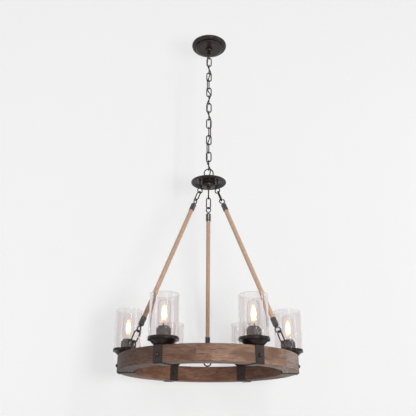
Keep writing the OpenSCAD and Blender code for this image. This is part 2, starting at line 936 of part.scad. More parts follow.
shade(4);  // shade_5
shade(5);  // shade_6
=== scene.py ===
import json
import math
import random

import bpy
from mathutils import Matrix, Vector


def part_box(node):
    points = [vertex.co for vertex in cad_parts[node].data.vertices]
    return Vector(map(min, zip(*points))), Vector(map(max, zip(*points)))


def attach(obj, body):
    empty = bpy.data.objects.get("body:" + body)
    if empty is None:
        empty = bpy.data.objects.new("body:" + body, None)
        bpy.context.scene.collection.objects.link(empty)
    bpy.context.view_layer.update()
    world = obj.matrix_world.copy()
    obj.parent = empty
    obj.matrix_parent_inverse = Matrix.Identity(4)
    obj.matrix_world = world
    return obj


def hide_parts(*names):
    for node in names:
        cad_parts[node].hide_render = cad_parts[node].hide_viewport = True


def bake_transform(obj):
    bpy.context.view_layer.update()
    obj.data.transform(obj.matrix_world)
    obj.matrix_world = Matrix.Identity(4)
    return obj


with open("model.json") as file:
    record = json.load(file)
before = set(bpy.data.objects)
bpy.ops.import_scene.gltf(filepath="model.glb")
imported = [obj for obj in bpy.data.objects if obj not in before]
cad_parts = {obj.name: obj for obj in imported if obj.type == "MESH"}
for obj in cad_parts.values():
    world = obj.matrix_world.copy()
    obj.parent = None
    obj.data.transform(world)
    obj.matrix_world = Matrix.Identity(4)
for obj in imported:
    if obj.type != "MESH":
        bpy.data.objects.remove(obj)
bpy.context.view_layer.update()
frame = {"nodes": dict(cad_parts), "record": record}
scene = bpy.context.scene
TAU = 2 * math.pi

# Radius of the middle of the rim's width, in mm
RIM_MID = 273.5


# ---- Camera ----

CAMERA_PITCH, CAMERA_YAW, CAMERA_ROLL = 0.3867000, 0.0073964, 0.0038153
CAMERA_PLACE = (-0.01712, -2.02570, -1.55900)
SENSOR_MM, LENS_MM = 36, 50.896


def make_camera():
    pitch, yaw, roll = CAMERA_PITCH, CAMERA_YAW, CAMERA_ROLL
    right = Vector((math.cos(yaw), -math.sin(yaw), 0))
    ahead = Vector((math.cos(pitch) * math.sin(yaw), math.cos(pitch) * math.cos(yaw),
                    math.sin(pitch)))
    up = right.cross(ahead)
    right, up = (right * math.cos(roll) + up * math.sin(roll),
                 up * math.cos(roll) - right * math.sin(roll))
    m = Matrix((right, up, -ahead)).transposed().to_4x4()
    m.translation = CAMERA_PLACE
    data = bpy.data.cameras.new("camera")
    data.sensor_width = SENSOR_MM
    data.lens = LENS_MM
    cam = bpy.data.objects.new("camera", data)
    scene.collection.objects.link(cam)
    cam.matrix_world = m
    scene.camera = cam


make_camera()


# ---- Small tools ----

def add_mesh(name, verts, faces, uvs=None, smooth=True):
    """An object from points in metres. uvs holds one pair for each vertex."""
    me = bpy.data.meshes.new(name)
    me.from_pydata(verts, [], faces)
    if uvs:
        layer = me.uv_layers.new(name="UVMap")
        for loop in me.loops:
            layer.data[loop.index].uv = uvs[loop.vertex_index]
    me.polygons.foreach_set("use_smooth", [smooth] * len(me.polygons))
    me.update()
    o = bpy.data.objects.new(name, me)
    scene.collection.objects.link(o)
    return o


def lathe(profile, sides, centre, closed=True, shape=None):
    """Points and faces of profile [(r, z), ...] in mm, turned round the axis at centre."""
    cx, cy = centre
    verts, faces, uvs = [], [], []
    n = len(profile)
    length = 0.0
    for i, (r, z) in enumerate(profile):
        if i:
            length += math.hypot(r - profile[i - 1][0], z - profile[i - 1][1])
        for k in range(sides):
            a = TAU * k / sides
            rr = r + (shape(a, z) if shape and r > 0.5 else 0)
            verts.append((cx + rr * math.cos(a) / 1000, cy + rr * math.sin(a) / 1000, z / 1000))
            uvs.append((k / sides, length / 1000))
    last = n if closed else n - 1
    for i in range(last):
        j = (i + 1) % n
        for k in range(sides):
            m = (k + 1) % sides
            faces.append((i * sides + k, i * sides + m, j * sides + m, j * sides + k))
    return verts, faces, uvs


def lathe_object(name, profile, sides, centre, closed=True, shape=None):
    return add_mesh(name, *lathe(profile, sides, centre, closed, shape))


def ring_faces(rings, sides):
    """Faces between rings + 1 rings of points."""
    faces = []
    for i in range(rings):
        for k in range(sides):
            m = (k + 1) % sides
            faces.append((i * sides + k, i * sides + m, (i + 1) * sides + m, (i + 1) * sides + k))
    return faces


def tube(path, radius, sides):
    """Points, faces and uvs of a round tube along path (Vectors, metres)."""
    verts, uvs = [], []
    n = len(path)
    side = None
    run = 0.0
    for i, p in enumerate(path):
        d = (path[min(i + 1, n - 1)] - path[max(i - 1, 0)]).normalized()
        if side is None:
            side = d.orthogonal().normalized()
        side = (side - d * side.dot(d)).normalized()
        other = d.cross(side)
        if i:
            run += (p - path[i - 1]).length
        for k in range(sides):
            a = TAU * k / sides
            verts.append(p + (side * math.cos(a) + other * math.sin(a)) * radius)
            uvs.append((k / sides, run))
    faces = ring_faces(n - 1, sides)
    faces.append(tuple(range(sides - 1, -1, -1)))
    faces.append(tuple((n - 1) * sides + k for k in range(sides)))
    return verts, faces, uvs


def merge(parts):
    """One set of points, faces and uvs from several."""
    verts, faces, uvs = [], [], []
    for v, f, u in parts:
        base = len(verts)
        verts += v
        uvs += u
        faces += [tuple(i + base for i in face) for face in f]
    return verts, faces, uvs


def srgb(r, g, b):
    def one(c):
        c /= 255
        return c / 12.92 if c <= 0.04045 else ((c + 0.055) / 1.055) ** 2.4
    return (one(r), one(g), one(b), 1)


def toned(colour, factor):
    """The colour made lighter or darker by a factor."""
    return tuple(min(1, c * factor) for c in colour[:3]) + (1,)


class Nodes:
    """Short calls to build one material's nodes."""

    def __init__(self, name):
        self.mat = bpy.data.materials.new(name)
        self.mat.use_nodes = True
        self.tree = self.mat.node_tree
        self.bsdf = self.tree.nodes["Principled BSDF"]
        self.out = self.tree.nodes["Material Output"]

    def add(self, kind, **values):
        n = self.tree.nodes.new("ShaderNode" + kind)
        for key, v in values.items():
            setattr(n, key, v)
        return n

    def put(self, socket, value):
        if isinstance(value, bpy.types.NodeSocket):
            self.tree.links.new(value, socket)
        else:
            socket.default_value = value

    def coord(self, kind="Object"):
        return self.add("TexCoord").outputs[kind]

    def scaled(self, vec, scale, rotation=(0, 0, 0)):
        m = self.add("Mapping")
        self.put(m.inputs["Vector"], vec)
        self.put(m.inputs["Scale"], scale)
        self.put(m.inputs["Rotation"], rotation)
        return m.outputs[0]

    def noise(self, vec, scale, detail=4.0, rough=0.55, warp=0.0):
        n = self.add("TexNoise")
        self.put(n.inputs["Vector"], vec)
        self.put(n.inputs["Scale"], scale)
        self.put(n.inputs["Detail"], detail)
        self.put(n.inputs["Roughness"], rough)
        self.put(n.inputs["Distortion"], warp)
        return n.outputs["Fac"]

    def math(self, op, a, b=0.0, c=0.0):
        n = self.add("Math", operation=op)
        for s, v in zip(n.inputs, (a, b, c)):
            self.put(s, v)
        return n.outputs[0]

    def remap(self, v, a, b, c, d):
        n = self.add("MapRange")
        for s, x in zip(n.inputs, (v, a, b, c, d)):
            self.put(s, x)
        return n.outputs[0]

    def ramp(self, fac, stops):
        n = self.add("ValToRGB")
        e = n.color_ramp.elements
        while len(e) < len(stops):
            e.new(0.5)
        for el, (pos, col) in zip(e, stops):
            el.position = pos
            el.color = col if not isinstance(col, (int, float)) else (col, col, col, 1)
        self.put(n.inputs[0], fac)
        return n.outputs[0]

    def mix(self, fac, a, b, blend="MIX"):
        n = self.add("Mix", data_type="RGBA", blend_type=blend)
        self.put(n.inputs["Factor"], fac)
        self.put(n.inputs[6], a)
        self.put(n.inputs[7], b)
        return n.outputs[2]

    def bump(self, height, strength, distance):
        n = self.add("Bump")
        self.put(n.inputs["Height"], height)
        self.put(n.inputs["Strength"], strength)
        self.put(n.inputs["Distance"], distance)
        return n.outputs[0]

    def set(self, **values):
        for key, v in values.items():
            self.put(self.bsdf.inputs[key.replace("_", " ")], v)
        return self.mat


# ---- Materials ----

def bronze(name, dark, warm, rough=0.3, shine=0.35, speckle=900.0, seed=0.0):
    """Dark painted bronze with brown wear, a fine mottled coat and slight handling marks."""
    n = Nodes(name)
    p = n.add("VectorMath", operation="ADD").outputs[0]
    p.node.inputs[1].default_value = (seed, seed * 0.7, seed * 0.3)
    n.put(p.node.inputs[0], n.coord())
    cloud = n.noise(p, 38, 5, 0.6)
    fine = n.noise(p, speckle, 3, 0.6)
    worn = n.noise(p, 120, 6, 0.65, 0.6)
    col = n.mix(n.ramp(cloud, [(0.32, 0.0), (0.72, 1.0)]), dark, warm)
    col = n.mix(n.ramp(worn, [(0.6, 0.0), (0.74, 0.4)]), col, toned(warm, 1.7))
    col = n.mix(n.ramp(fine, [(0.35, 0.35), (0.6, 0.0)]), col, toned(dark, 0.45))
    mottle = n.math("ADD", n.math("MULTIPLY", cloud, 0.7), n.math("MULTIPLY", fine, 0.3))
    r = n.remap(mottle, 0.3, 0.7, rough - 0.06, rough + 0.1)
    h = n.math("ADD", n.math("MULTIPLY", fine, 0.5), worn)
    return n.set(Base_Color=col, Specular_IOR_Level=shine, Roughness=r, Normal=n.bump(h, 0.08, 0.0003))


def bare_metal(name, base, stain, rough=0.32):
    """Plated metal with a drawn grain and light stains."""
    n = Nodes(name)
    p = n.coord()
    grain = n.noise(n.scaled(p, (900, 900, 60)), 1, 4, 0.6)
    cloud = n.noise(p, 55, 4, 0.6)
    col = n.mix(n.ramp(cloud, [(0.4, 0.0), (0.75, 0.8)]), base, stain)
    return n.set(Base_Color=col, Metallic=1.0, Roughness=n.remap(grain, 0.3, 0.7, rough - 0.08, rough + 0.12),
                 Normal=n.bump(grain, 0.2, 0.0002))


def wood(name, seed, tints):
    """Weathered stained wood. Its grain runs round the rim."""
    n = Nodes(name)
    xyz = n.add("SeparateXYZ")
    n.put(xyz.inputs[0], n.coord())
    angle = n.math("ARCTAN2", xyz.outputs[1], xyz.outputs[0])
    radius = n.math("SQRT", n.math("ADD", n.math("MULTIPLY", xyz.outputs[0], xyz.outputs[0]),
                                   n.math("MULTIPLY", xyz.outputs[1], xyz.outputs[1])))
    arc = n.math("ADD", n.math("MULTIPLY", angle, RIM_MID / 1000), seed)
    flat = n.add("CombineXYZ")
    for s, v in zip(flat.inputs, (arc, radius, xyz.outputs[2])):
        n.put(s, v)
    flat = flat.outputs[0]
    sway = n.noise(n.scaled(flat, (9, 30, 30)), 1, 3, 0.5)
    bent = n.add("VectorMath", operation="MULTIPLY_ADD")
    n.put(bent.inputs[0], sway)
    bent.inputs[1].default_value = (0.0, 0.03, 0.03)
    n.put(bent.inputs[2], flat)
    bent = bent.outputs[0]
    tone = n.noise(n.scaled(bent, (7, 40, 45)), 1, 4, 0.6)
    spots = n.noise(n.scaled(bent, (26, 60, 70)), 1, 3, 0.6)
    bands = n.noise(n.scaled(bent, (11, 160, 190)), 1, 5, 0.6)
    streak = n.noise(n.scaled(bent, (22, 420, 520)), 1, 6, 0.65)
    fibre = n.noise(n.scaled(flat, (90, 2200, 2600)), 1, 3, 0.6)
    pores = n.noise(n.scaled(flat, (170, 1500, 1500)), 1, 2, 0.5)
    blotch = n.noise(n.scaled(flat, (14, 34, 34)), 1, 3, 0.55)
    base = n.ramp(n.remap(angle, -math.pi, math.pi, 0, 1), tints)
    light = n.mix(1.0, base, (1.60, 1.50, 1.42, 1), "MULTIPLY")
    dark = n.mix(1.0, base, (0.52, 0.46, 0.43, 1), "MULTIPLY")
    deep = n.mix(1.0, base, (0.26, 0.21, 0.19, 1), "MULTIPLY")
    amber = n.mix(1.0, base, (1.25, 0.92, 0.66, 1), "MULTIPLY")
    col = n.mix(n.ramp(tone, [(0.34, 0.0), (0.66, 1.0)]), dark, light)
    col = n.mix(n.ramp(bands, [(0.40, 0.0), (0.60, 0.6)]), col, base)
    col = n.mix(n.ramp(spots, [(0.55, 0.0), (0.72, 0.7)]), col, amber)
    col = n.mix(n.ramp(bands, [(0.36, 0.8), (0.47, 0.0)]), col, dark)
    col = n.mix(n.ramp(streak, [(0.38, 0.75), (0.50, 0.0)]), col, deep)
    col = n.mix(n.ramp(streak, [(0.56, 0.0), (0.70, 0.4)]), col, light)
    col = n.mix(n.ramp(fibre, [(0.42, 0.35), (0.58, 0.0)]), col, dark)
    col = n.mix(n.ramp(pores, [(0.30, 0.7), (0.40, 0.0)]), col, deep)
    stain = n.mix(1.0, base, (0.48, 0.38, 0.33, 1), "MULTIPLY")
    col = n.mix(n.ramp(blotch, [(0.50, 0.0), (0.64, 0.8)]), col, stain)
    h = n.math("ADD", n.math("MULTIPLY", bands, 0.5), n.math("MULTIPLY", fibre, 0.25))
    h = n.math("ADD", n.math("MULTIPLY", streak, 0.7), h)
    return n.set(Base_Color=col, Roughness=n.remap(streak, 0.3, 0.7, 0.72, 0.5), Specular_IOR_Level=0.35,
                 Normal=n.bump(h, 0.5, 0.0009))


def rope_material(name, light, shade):
    """Twisted fibres, coloured between a lit and a shaded tone as painted light and shade. The uv runs once
    round the twine and in metres along the hanger.
    """
    n = Nodes(name)
    uv = n.coord("UV")
    twist = n.scaled(uv, (5, 900, 1), (0, 0, 0.5))
    strand = n.noise(twist, 1, 4, 0.6)
    fine = n.noise(n.scaled(n.coord(), (1500, 1500, 1500)), 1, 3, 0.7)
    sep = n.add("SeparateXYZ")
    n.put(sep.inputs[0], uv)
    spiral_pitch = 0.024
    turns = n.math("ADD", n.math("MULTIPLY", sep.outputs[1], 1 / spiral_pitch), sep.outputs[0])
    spiral = n.math("SINE", n.math("MULTIPLY", turns, TAU))
    patch = n.noise(n.coord(), 70, 3, 0.6)
    # light and shade are the rope's lit-side and shaded-side colours, so the noises and the spiral bands
    # below mix painted light and painted shade into its tone
    col = n.mix(n.ramp(strand, [(0.30, 0.0), (0.62, 1.0)]), shade, light)
    col = n.mix(n.remap(spiral, -1, 1, 0.0, 0.16), col, shade)
    col = n.mix(n.ramp(fine, [(0.35, 0.5), (0.55, 0.0)]), col, toned(shade, 0.6))
    col = n.mix(n.ramp(patch, [(0.5, 0.0), (0.75, 0.4)]), col, shade)
    h = n.math("ADD", strand, n.math("MULTIPLY", fine, 0.6))
    return n.set(Base_Color=col, Roughness=0.88, Specular_IOR_Level=0.2,
                 Sheen_Weight=0.25, Sheen_Roughness=0.6, Normal=n.bump(h, 0.6, 0.0006))


def braid(name, a, b):
    """Woven cloth cover of the cord. The uv runs once round it and in metres along it."""
    n = Nodes(name)
    sep = n.add("SeparateXYZ")
    n.put(sep.inputs[0], n.coord("UV"))
    u = n.math("MULTIPLY", sep.outputs[0], 8)
    v = n.math("MULTIPLY", sep.outputs[1], 8 / 0.014)
    one = n.math("SINE", n.math("MULTIPLY", n.math("ADD", u, v), math.pi))
    two = n.math("SINE", n.math("MULTIPLY", n.math("SUBTRACT", u, v), math.pi))
    weave = n.math("MULTIPLY", one, two)
    fuzz = n.noise(n.coord(), 2600, 3, 0.7)
    col = n.mix(n.remap(weave, -0.7, 0.7, 0, 1), a, b)
    col = n.mix(n.ramp(fuzz, [(0.35, 0.5), (0.6, 0.0)]), col, toned(a, 0.5))
    h = n.math("ADD", n.math("ABSOLUTE", weave), n.math("MULTIPLY", fuzz, 0.4))
    return n.set(Base_Color=col, Roughness=0.8, Sheen_Weight=0.3, Specular_IOR_Level=0.25,
                 Normal=n.bump(h, 0.6, 0.0004))


def shade_glass():
    """Clear drawn glass with faint upright waves and a few seeds."""
    n = Nodes("shade_glass")
    p = n.coord()
    waves = n.noise(n.scaled(p, (75, 75, 3)), 1, 3, 0.5)
    draw = n.noise(n.scaled(p, (380, 380, 5)), 1, 2, 0.5)
    seeds = n.noise(n.scaled(p, (330, 330, 200)), 1, 1, 0.4)
    dots = n.math("MULTIPLY", n.ramp(seeds, [(0.72, 0.0), (0.80, 1.0)]), 0.1)
    h = n.math("ADD", waves, n.math("ADD", n.math("MULTIPLY", draw, 0.12), dots))
    tint = n.mix(n.ramp(waves, [(0.35, 0.0), (0.65, 1.0)]),
                 (0.870, 0.833, 0.833, 1), (0.930, 0.908, 0.908, 1))
    return n.set(Base_Color=tint, Roughness=n.remap(draw, 0.3, 0.7, 0.0, 0.03),
                 Transmission_Weight=1.0, IOR=1.3, Normal=n.bump(h, 0.12, 0.0012))


def bulb_glass():
    n = Nodes("bulb_glass")
    p = n.coord()
    waves = n.noise(n.scaled(p, (90, 90, 25)), 1, 2, 0.5)
    tint = n.mix(n.remap(waves, 0.3, 0.7, 0, 1), (0.985, 0.96, 0.94, 1), (0.995, 0.985, 0.975, 1))
    return n.set(Base_Color=tint, Roughness=n.remap(waves, 0.3, 0.7, 0.0, 0.02),
                 Transmission_Weight=1.0, IOR=1.12, Normal=n.bump(waves, 0.1, 0.0005))


def glowing(name, colour, strength, hot):
    """Lit filament of one glow strength; the filament's bright middle and its dimmer ends each get one of
    these.
    """
    n = Nodes(name)
    grain = n.noise(n.coord(), 700, 3, 0.6)
    col = n.mix(n.remap(grain, 0.3, 0.7, 0, 1), colour, hot)
    return n.set(Base_Color=col, Roughness=0.6, Emission_Color=col, Emission_Strength=strength)


def plastic(name, base, dark, rough=0.45):
    n = Nodes(name)
    p = n.coord()
    cloud = n.noise(p, 90, 4, 0.6)
    fine = n.noise(p, 1800, 2, 0.6)
    col = n.mix(n.ramp(cloud, [(0.35, 0.0), (0.75, 0.6)]), base, dark)
    return n.set(Base_Color=col, Roughness=n.remap(fine, 0.3, 0.7, rough - 0.06, rough + 0.08),
                 Normal=n.bump(fine, 0.15, 0.0002))


MAT = {
    "canopy_bronze": bronze("canopy_bronze", srgb(38, 29, 27), srgb(50, 40, 37), 0.18, 0.3, 1100, 1.0),
    "chain_bronze": bronze("chain_bronze", srgb(31, 21, 18), srgb(48, 34, 29), 0.2, 0.25, 1500, 2.0),
    "dark_bronze": bronze("dark_bronze", srgb(36, 27, 25), srgb(50, 39, 36), 0.18, 0.32, 1200, 3.0),
    "ferrule_bronze": bronze("ferrule_bronze", srgb(42, 33, 31), srgb(58, 48, 45), 0.15, 0.8, 1300, 4.0),
    "cup_bronze": bronze("cup_bronze", srgb(27, 18, 16), srgb(40, 29, 26), 0.26, 0.2, 1000, 5.0),
    "socket_metal": bronze("socket_metal", srgb(46, 34, 31), srgb(72, 57, 52), 0.12, 1.0, 1400, 6.0),
    "strap_iron": bronze("strap_iron", srgb(42, 34, 32), srgb(56, 47, 45), 0.42, 0.22, 700, 7.0),
    "bolt_iron": bronze("bolt_iron", srgb(24, 17, 15), srgb(40, 31, 28), 0.26, 0.4, 1200, 8.0),
    "zinc_steel": bare_metal("zinc_steel", srgb(176, 176, 172), srgb(128, 124, 112), 0.36),
    "brass_thread": bare_metal("brass_thread", srgb(196, 168, 100), srgb(140, 112, 62), 0.3),
    "tube_steel": bare_metal("tube_steel", srgb(120, 120, 120), srgb(92, 84, 78), 0.4),
    "dowel_wood": plastic("dowel_wood", srgb(196, 160, 118), srgb(168, 130, 92), 0.6),
    "cable_rubber": plastic("cable_rubber", srgb(34, 34, 34), srgb(24, 24, 24), 0.6),
    "connector_plastic": plastic("connector_plastic", srgb(216, 120, 44), srgb(180, 92, 30), 0.4),
    "cord_cloth": braid("cord_cloth", srgb(40, 33, 31), srgb(92, 80, 74)),
    # Lit-side and shaded-side colours of the rope, painted light and shade
    "jute_rope": rope_material("jute_rope", srgb(222, 188, 161), srgb(168, 134, 112)),
    "shade_glass": shade_glass(),
    "bulb_glass": bulb_glass(),
}

# Tint round the rim, from the -X side through the near side, the +X side and the far side
RIM_TINTS = [
    (0.000, srgb(80, 60, 51)), (0.064, srgb(84, 64, 54)), (0.165, srgb(104, 80, 66)),
    (0.230, srgb(124, 96, 80)), (0.330, srgb(138, 110, 92)), (0.3965, srgb(142, 116, 100)),
    (0.3978, srgb(158, 142, 134)), (0.500, srgb(156, 138, 130)), (0.563, srgb(112, 80, 62)),
    (0.640, srgb(90, 64, 50)), (0.740, srgb(128, 92, 70)), (0.850, srgb(134, 98, 77)),
    (0.920, srgb(138, 102, 83)), (1.000, srgb(86, 66, 56))]
for k in range(6):
    MAT[f"rim_wood_{k + 1}"] = wood(f"rim_wood_{k + 1}", 0.37 + 1.91 * k, RIM_TINTS)


def use(o, mat):
    """Shows the object with this one material."""
    o.data.materials.clear()
    o.data.materials.append(mat)


for part in frame["record"]["subparts"]:
    node, slot = part["node"], part["material_slot"]
    if node.startswith("felloe_"):
        mat = MAT["rim_wood_" + node[-1]]
    else:
        mat = MAT[slot]
    o = frame["nodes"][node]
    if not o.material_slots:
        o.data.materials.append(mat)
    for s in o.material_slots:
        s.material = mat


# ---- Supply cord, woven through the chain ----

CANOPY_H, HUB_TOP_Z, STUB_BOTTOM_Z = 21.0, -624.5, -48.0
LINKS, PITCH, CROSSING_Z = 14, 36.5, -65.4
CORD_OFF, CORD_SLOT, CORD_R = 6.5, 3.2, 0.0022
CORD_TOP_Z, CORD_END_Z, CORD_SIDES = -4, -639, 14
HINGE_Z = 67.6
# How far the cord's pieces overlap each way, in metres
PIECE_OVERLAP = 0.003
# Side of the chain's axis on which the cord passes each crossing of two links
SIDE_X = [-1, -1, 1, -1, -1, 1, -1, -1, 1, 1, 1, -1, -1, -1, 1]
SIDE_Y = [-1, -1, -1, 1, 1, -1, -1, -1, -1, -1, -1, 1, 1, 1, 1]


def cord_point(t):
    a, b = math.floor(t), math.ceil(t)
    sx, sy = (SIDE_X[a] + SIDE_X[b]) / 2, (SIDE_Y[a] + SIDE_Y[b]) / 2
    beside = a != b and a % 2 == 1 and sx == 0
    return Vector((CORD_OFF * sx, (CORD_SLOT if beside else CORD_OFF) * sy, CROSSING_Z - t * PITCH))


def spline(p, n):
    out = []
    for i in range(len(p) - 1):
        a, b, c, d = p[max(i - 1, 0)], p[i], p[i + 1], p[min(i + 2, len(p) - 1)]
        for k in range(n):
            t = k / n
            out.append(0.5 * (2 * b + (c - a) * t + (2 * a - 5 * b + 4 * c - d) * t * t
                              + (3 * b - a - 3 * c + d) * t ** 3))
    return out + [p[-1]]


def make_cord():
    route = [Vector((0, 0, CORD_TOP_Z)), Vector((0, 0, -CANOPY_H - 10)),
             Vector((0, 0, STUB_BOTTOM_Z - 2))]
    route += [cord_point(i / 2) for i in range(2 * LINKS + 1)]
    route += [Vector((1, 1, HUB_TOP_Z + 16)), Vector((0, 0, HUB_TOP_Z + 4)),
              Vector((0, 0, CORD_END_Z))]
    path = [p / 1000 for p in spline(route, 8)]
    sides = CORD_SIDES
    verts, faces, uvs = tube(path, CORD_R, sides)
    hinge = [-(HINGE_Z + PITCH * k) / 1000 for k in (0, 1, LINKS - 1, LINKS)]
    cuts = [math.inf] + [(a + b) / 2 for a, b in zip(hinge, hinge[1:])] + [-math.inf]
    for k in range(len(hinge)):
        rows = [i for i, p in enumerate(path)
                if cuts[k + 1] - PIECE_OVERLAP <= p.z <= cuts[k] + PIECE_OVERLAP]
        lo, hi = rows[0], rows[-1]
        v = verts[lo * sides:(hi + 1) * sides]
        u = uvs[lo * sides:(hi + 1) * sides]
        f = [tuple(x - lo * sides for x in face) for face in faces[lo * sides:hi * sides]]
        f.append(tuple(range(sides - 1, -1, -1)))
        f.append(tuple((hi - lo) * sides + i for i in range(sides)))
        o = add_mesh(f"cord_{k:02d}", v, f, u)
        use(o, MAT["cord_cloth"])
        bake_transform(o)
        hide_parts("supply_cord")


make_cord()


# ---- Rope wraps on the hangers ----

HUB_EYE_R, HUB_EYE_Z = 37.5, -672.0
RIM_EYE_TOP_Z = -1245.5
LEG_DR, LEG_DZ = RIM_MID - HUB_EYE_R, HUB_EYE_Z - RIM_EYE_TOP_Z
LEG_TILT = math.atan2(LEG_DR, LEG_DZ)
LEG_L = math.hypot(LEG_DR, LEG_DZ)
LEGS = (90, 210, 330)
WRAP_R, WRAP_CORE_R, WRAP_MAX_R, WRAP_END_R = 8, 6.15, 7.95, 7.0
WOBBLES, FIBRES, FIBRE_R = 400, 150, 0.00011


def leg_point(angle, s, x=0.0, y=0.0):
    """Point at s mm down a hanger's line, x out in its radial plane and y across, in metres."""
    a = math.radians(angle)
    r = HUB_EYE_R + s * math.sin(LEG_TILT) + x * math.cos(LEG_TILT)
    z = HUB_EYE_Z - s * math.cos(LEG_TILT) + x * math.sin(LEG_TILT)
    return Vector((r * math.cos(a) - y * math.sin(a), r * math.sin(a) + y * math.cos(a), z)) / 1000


def rope_span():
    """Start and end of the wrap down the hanger, from the CAD node's own box."""
    lo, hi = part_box("rope_wraps")
    drop = (hi[2] - lo[2]) * 1000 - 2 * WRAP_R * math.sin(LEG_TILT)
    length = drop / math.cos(LEG_TILT)
    top = hi[2] * 1000 - WRAP_R * math.sin(LEG_TILT)
    start = (HUB_EYE_Z - top) / math.cos(LEG_TILT)
    return start, start + length


def make_rope(angle, seed):
    rng = random.Random(seed)
    start, end = rope_span()
    pitch, twine = 3.4, 1.75
    steps, sides = 6, 36
    rings = int((end - start) / pitch * steps)
    wobble = [rng.uniform(-0.16, 0.16) for _ in range(WOBBLES)]
    verts, uvs = [], []
    for i in range(rings + 1):
        s = start + (end - start) * i / rings
        near_end = min(1.0, (s - start) / 2.5, (end - s) / 2.5)
        for k in range(sides):
            a = TAU * k / sides
            phase = (s - start) / pitch - k / sides
            turn = math.floor(phase)
            off = (phase - turn - 0.5) * pitch
            w = wobble[turn % WOBBLES] + 0.10 * math.sin(3 * a + turn)
            bulge = math.sqrt(max(0.0, twine * twine - off * off))
            r = WRAP_CORE_R + bulge + w * 0.7
            r = min(WRAP_MAX_R, r) * near_end + WRAP_END_R * (1 - near_end)
            verts.append(leg_point(angle, s, r * math.cos(a), r * math.sin(a)))
            uvs.append((k / sides, (s - start) / 1000))
    parts = [(verts, ring_faces(rings, sides), uvs)]
    for _ in range(FIBRES):
        s = rng.uniform(start + 4, end - 8)
        a = rng.uniform(0, TAU)
        length, lift, lean = rng.uniform(3, 8), rng.uniform(0.5, 1.5), rng.uniform(-1, 1)
        path = []
        for j in range(5):
            t = j / 4
            r = 7.5 + lift * math.sin(math.pi * 0.6 * t)
            b = a + lean * t * length / 12
            path.append(leg_point(angle, s + t * length * 0.4, r * math.cos(b), r * math.sin(b)))
        parts.append(tube(path, FIBRE_R, 3))
    o = add_mesh(f"rope_{angle}", *merge(parts))
    use(o, MAT["jute_rope"])
    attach(o, "wheel")
    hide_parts("rope_wraps")


for seed, angle in enumerate(LEGS):
    make_rope(angle, 11 + seed)


# ---- Lights: glass shades and bulbs ----

CUP_FLOOR_Z = -1273.75
SOCKET_TOP_Z = CUP_FLOOR_Z + 54.5
GLASS_Z, GLASS_H, GLASS_R, GLASS_T = -1259.45, 139.5, 45.7, 3.0
BULB_SEAT_Z, BULB_NECK_Z, BULB_TOP_Z = SOCKET_TOP_Z - 22, SOCKET_TOP_Z + 0.3, SOCKET_TOP_Z + 84.0
BULB_R, BULB_WALL = 19.0, 0.8
CAP_R, THREAD_PITCH, THREAD_DEPTH = 12.35, 3.6, 0.5
# Radius that stands for the axis itself in a turned profile
AXIS_R = 0.05


def light_centre(i):
    a = math.radians(60 * (i - 1))
    return (RIM_MID * math.cos(a) / 1000, RIM_MID * math.sin(a) / 1000)


def arc(cx, cy, r, a, b, n):
    """Points on a circle from angle a to angle b, in degrees."""
    turns = [math.radians(a + (b - a) * i / n) for i in range(n + 1)]
    return [(cx + r * math.cos(t), cy + r * math.sin(t)) for t in turns]


def make_shade(i):
    rng = random.Random(50 + i)
    inner, top = GLASS_R - GLASS_T, GLASS_Z + GLASS_H
    lip = GLASS_T / 2
    outside = [(GLASS_R, GLASS_Z + 0.8 + (top - GLASS_Z - 2.4) * t / 24) for t in range(25)]
    inside = [(inner, z) for _, z in reversed(outside)]
    profile = [(GLASS_R - 0.8, GLASS_Z)] + outside + arc(GLASS_R - lip, top - lip, lip, 0, 180, 8)
    profile += inside + [(inner + 0.8, GLASS_Z)]
    phases = [rng.uniform(0, TAU) for _ in range(3)]

    def shape(a, z):
        t = (z - GLASS_Z) / GLASS_H
        return (0.05 * math.sin(3 * a + phases[0] + t) + 0.04 * math.sin(7 * a + phases[1])
                + 0.03 * math.sin(5 * t * math.pi + phases[2]) - 0.12)

    o = lathe_object(f"shade_glass_{i}", profile, 96, light_centre(i), True, shape)
    use(o, MAT["shade_glass"])
    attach(o, f"shade_{i}")
    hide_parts(f"shade_{i}")


MAT["filament"] = glowing("filament", (1.0, 0.70, 0.38, 1), 2.2, (1.0, 0.80, 0.52, 1))
MAT["filament_hot"] = glowing("filament_hot", (1.0, 0.90, 0.74, 1), 14.0, (1.0, 0.95, 0.84, 1))
MAT["bulb_cap"] = bare_metal("bulb_cap", srgb(206, 190, 150), srgb(160, 138, 96), 0.28)
MAT["bulb_insulator"] = plastic("bulb_insulator", srgb(26, 24, 24), srgb(14, 13, 13), 0.25)
MAT["stem_glass"] = bulb_glass()
MAT["stem_glass"].name = "stem_glass"


def glow_material():
    """Painted glow round the filament: a faint warm emitting shell that stands in for the lit filament's
    glare, strongest where it is seen face on.
    """
    n = Nodes("bulb_glow")
    lw = n.add("LayerWeight")
    lw.inputs["Blend"].default_value = 0.35
    face = n.math("SUBTRACT", 1.0, lw.outputs["Facing"])
    soft = n.math("POWER", n.math("MAXIMUM", face, 0.0), 1.6)
    z = n.add("SeparateXYZ")
    n.put(z.inputs[0], n.coord())
    up = n.remap(z.outputs[2], -1.206, -1.145, 0, 1)
    tall = n.ramp(up, [(0.0, 0.25), (0.3, 0.8), (0.65, 0.85), (0.9, 0.45), (1.0, 0.05)])
    alpha = n.math("MULTIPLY", n.math("MULTIPLY", soft, tall), 0.55)
    col = n.ramp(up, [(0.0, (1.0, 0.66, 0.36, 1)), (0.3, (1.0, 0.93, 0.82, 1)),
                      (0.65, (1.0, 0.92, 0.80, 1)), (0.95, (1.0, 0.62, 0.32, 1))])
    return n.set(Base_Color=(0.9, 0.7, 0.45, 1), Roughness=1.0, Specular_IOR_Level=0.0,
                 Emission_Color=col, Emission_Strength=1.05, Alpha=alpha)


MAT["bulb_glow"] = glow_material()


def dress(o, mat, i):
    use(o, MAT[mat])
    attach(o, f"bulb_{i}")
    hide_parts(f"bulb_{i}")


